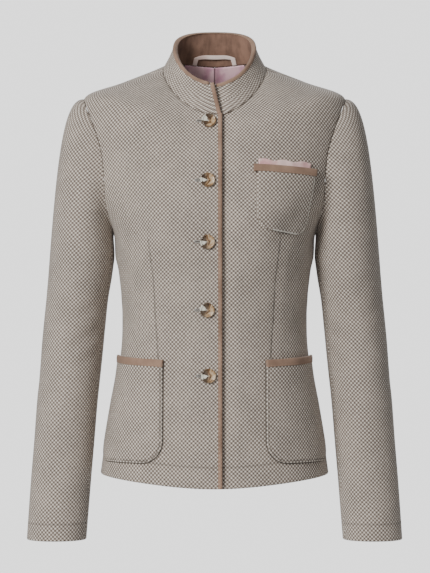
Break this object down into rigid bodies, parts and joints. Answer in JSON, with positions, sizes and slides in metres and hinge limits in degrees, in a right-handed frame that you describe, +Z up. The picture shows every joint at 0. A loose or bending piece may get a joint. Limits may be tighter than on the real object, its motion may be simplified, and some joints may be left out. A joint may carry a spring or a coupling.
{
  "type": "wool blazer",
  "caption": "Fitted tweed jacket with a stand collar, buttoned front, bound edges, patch pockets and set-in sleeves, hollow as worn.",
  "frame": {"origin": "middle of the neck at the height of the shoulder seams, where the wearer's shoulders hold the jacket", "axes": "+Z up along the body, +X towards the wearer's left, the front faces -Y"},
  "size_m": [0.5388, 0.254, 0.7369],
  "materials": {
    "tweed": "wool tweed, cream flecks on grey taupe",
    "binding": "matt tan suede-like binding",
    "facing": "matt brown suede-like collar facing",
    "lining": "mauve satin lining",
    "satin": "pale pink satin",
    "tape": "pale woven tape",
    "horn": "marbled horn look, polished"
  },
  "bodies": {
    "root": {"front_right": "tweed", "front_left": "tweed", "back_right": "tweed", "back_left": "tweed", "sleeve_upper_right": "tweed", "sleeve_under_right": "tweed", "sleeve_upper_left": "tweed", "sleeve_under_left": "tweed", "collar": "tweed", "collar_facing": "facing", "front_binding": "binding", "collar_binding": "binding", "pocket_right": "tweed", "pocket_left": "tweed", "breast_pocket": "tweed", "pocket_binding_right": "binding", "pocket_binding_left": "binding", "breast_binding": "binding", "breast_insert": "satin", "hanger_loop": "tape", "back_lining": "lining", "button_1": "horn", "button_2": "horn", "button_3": "horn", "button_4": "horn", "button_5": "horn"}
  },
  "joints": []
}
